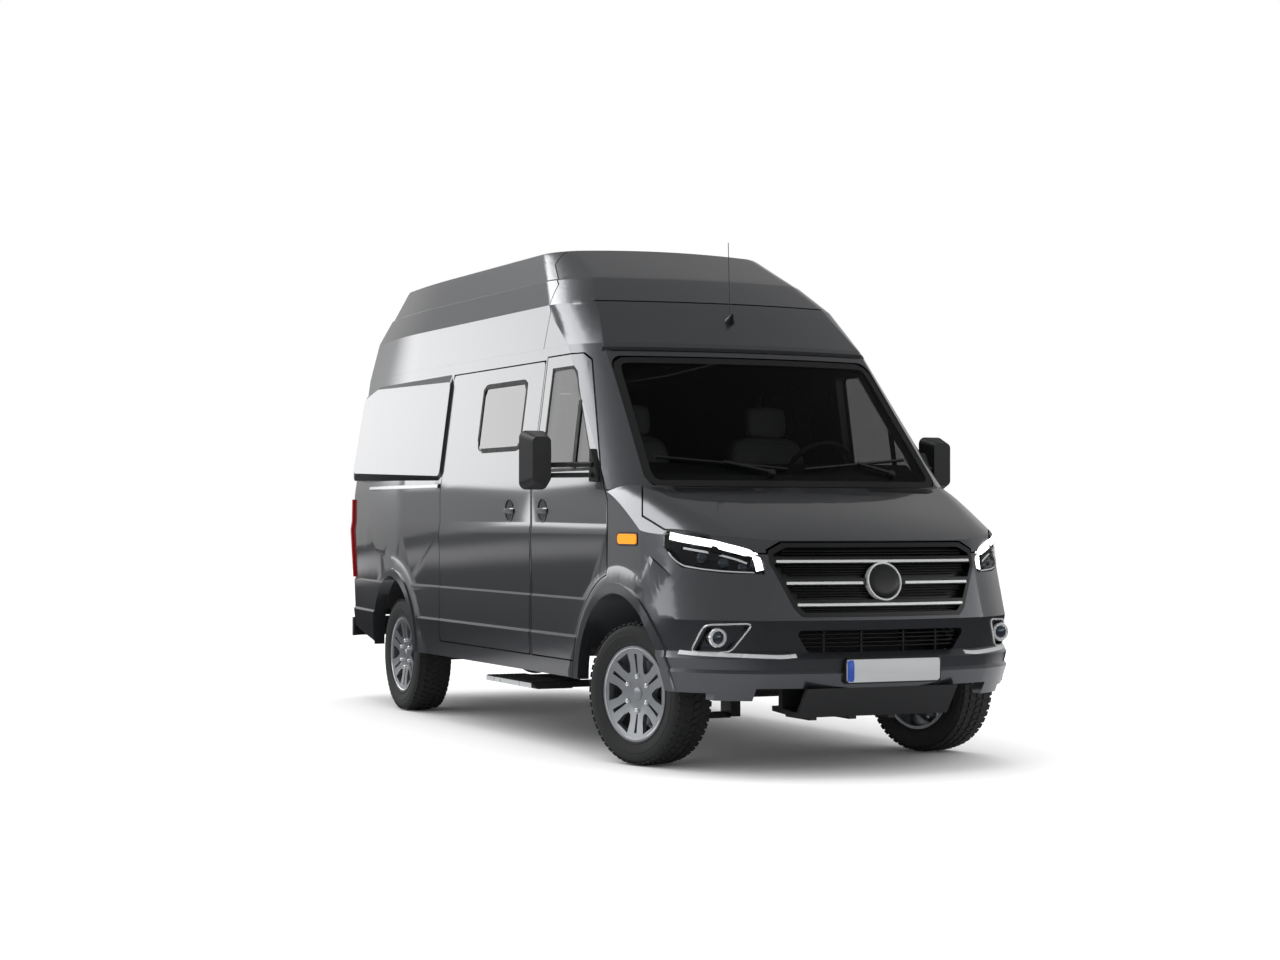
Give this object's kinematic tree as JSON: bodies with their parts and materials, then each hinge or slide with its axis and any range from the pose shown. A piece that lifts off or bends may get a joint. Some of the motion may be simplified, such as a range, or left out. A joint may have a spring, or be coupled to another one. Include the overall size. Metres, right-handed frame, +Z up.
{
  "type": "camper van",
  "caption": "High-roof panel-van camper with side bulges, sliding side door, opening cab and rear doors, bonnet, steered front wheels and turning wheels.",
  "frame": {"origin": "on the ground, midway along and across the vehicle", "axes": "+X forward, +Y to the left side, +Z up"},
  "size_m": [5.9321, 2.6, 2.8119],
  "materials": {
    "body_grey": "metallic dark grey two-coat paint",
    "roof_grey": "metallic dark grey paint on glass-fibre roof",
    "black_plastic": "grained black moulding",
    "glass_tint": "tinted safety glass",
    "lamp_clear": "clear polycarbonate lamp cover",
    "lamp_red": "red lamp lens",
    "tyre_black": "black tyre rubber",
    "alloy": "silver painted cast alloy",
    "steel_black": "black chassis coating",
    "cast": "cast iron",
    "engine_grey": "cast aluminium",
    "cloth": "dark woven upholstery",
    "underfloor": "sprayed underbody coating"
  },
  "bodies": {
    "body": {"floor_pan": "underfloor", "side_wall_left": "body_grey", "side_wall_right": "body_grey", "front_wings": "body_grey", "cab_frame": "body_grey", "high_roof": "roof_grey", "side_bulges": "body_grey", "sliding_door": "body_grey", "side_glass": "glass_tint", "windscreen": "glass_tint", "grille": "black_plastic", "headlamps": "lamp_clear", "front_bumper": "body_grey", "skid_plate": "black_plastic", "rear_bumper": "black_plastic", "rear_lamps": "lamp_red", "front_subframe": "steel_black", "rear_axle": "steel_black", "engine": "engine_grey", "underbody_tanks": "black_plastic", "dashboard": "black_plastic", "seats": "cloth", "exterior_trim": "black_plastic"},
    "bonnet": {"bonnet": "body_grey"},
    "front_door_left": {"front_door_left": "body_grey", "door_glass_left": "glass_tint", "mirror_left": "black_plastic"},
    "front_door_right": {"front_door_right": "body_grey", "door_glass_right": "glass_tint", "mirror_right": "black_plastic"},
    "rear_door_left": {"rear_door_left": "body_grey", "rear_glass_left": "glass_tint"},
    "rear_door_right": {"rear_door_right": "body_grey", "rear_glass_right": "glass_tint"},
    "steering_wheel": {"steering_wheel": "black_plastic"},
    "knuckle_front_left": {"knuckle_front_left": "cast"},
    "knuckle_front_right": {"knuckle_front_right": "cast"},
    "wheel_front_left": {"tyre_front_left": "tyre_black", "rim_front_left": "alloy"},
    "wheel_front_right": {"tyre_front_right": "tyre_black", "rim_front_right": "alloy"},
    "wheel_rear_left": {"tyre_rear_left": "tyre_black", "rim_rear_left": "alloy"},
    "wheel_rear_right": {"tyre_rear_right": "tyre_black", "rim_rear_right": "alloy"}
  },
  "joints": [
    {"name": "steer_left", "type": "hinge", "parent": "body", "child": "knuckle_front_left", "pos_m": [1.962, 0.75, 0.364], "axis": [0, 0, 1], "range_deg": [-49, 17]},
    {"name": "steer_right", "type": "hinge", "parent": "body", "child": "knuckle_front_right", "pos_m": [1.962, -0.75, 0.364], "axis": [0, 0, 1], "range_deg": [-49, 17]},
    {"name": "steering_wheel_turn", "type": "hinge", "parent": "body", "child": "steering_wheel", "pos_m": [1.44, 0.43, 1.5], "axis": [-0.848, 0, 0.5299], "range_deg": [-686, 238]},
    {"name": "wheel_front_left_spin", "type": "hinge", "parent": "knuckle_front_left", "child": "wheel_front_left", "pos_m": [1.93664, 0.83844, 0.364], "axis": [-0.2756, 0.9613, 0], "continuous": true},
    {"name": "wheel_front_right_spin", "type": "hinge", "parent": "knuckle_front_right", "child": "wheel_front_right", "pos_m": [1.98736, -0.83844, 0.364], "axis": [-0.2756, 0.9613, 0], "continuous": true},
    {"name": "wheel_rear_left_spin", "type": "hinge", "parent": "body", "child": "wheel_rear_left", "pos_m": [-1.703, 0.828, 0.364], "axis": [0, 1, 0], "continuous": true},
    {"name": "wheel_rear_right_spin", "type": "hinge", "parent": "body", "child": "wheel_rear_right", "pos_m": [-1.703, -0.828, 0.364], "axis": [0, 1, 0], "continuous": true},
    {"name": "front_door_left_hinge", "type": "hinge", "parent": "body", "child": "front_door_left", "pos_m": [1.812, 1.024, 1.21], "axis": [0, 0.0523, -0.9986], "range_deg": [0, 70]},
    {"name": "front_door_right_hinge", "type": "hinge", "parent": "body", "child": "front_door_right", "pos_m": [1.812, -1.024, 1.21], "axis": [0, 0.0523, 0.9986], "range_deg": [0, 70]},
    {"name": "rear_door_left_hinge", "type": "hinge", "parent": "body", "child": "rear_door_left", "pos_m": [-2.958, 0.827, 1.3], "axis": [0, 0, -1], "range_deg": [0, 180]},
    {"name": "rear_door_right_hinge", "type": "hinge", "parent": "body", "child": "rear_door_right", "pos_m": [-2.958, -0.827, 1.3], "axis": [0, 0, 1], "range_deg": [0, 180]},
    {"name": "bonnet_hinge", "type": "hinge", "parent": "body", "child": "bonnet", "pos_m": [1.98, 0, 1.47], "axis": [0, -1, 0], "range_deg": [0, 60]}
  ],
  "couplings": [
    {"joint": "steer_right", "follows": "steer_left", "ratio": 1},
    {"joint": "steering_wheel_turn", "follows": "steer_left", "ratio": 14}
  ]
}
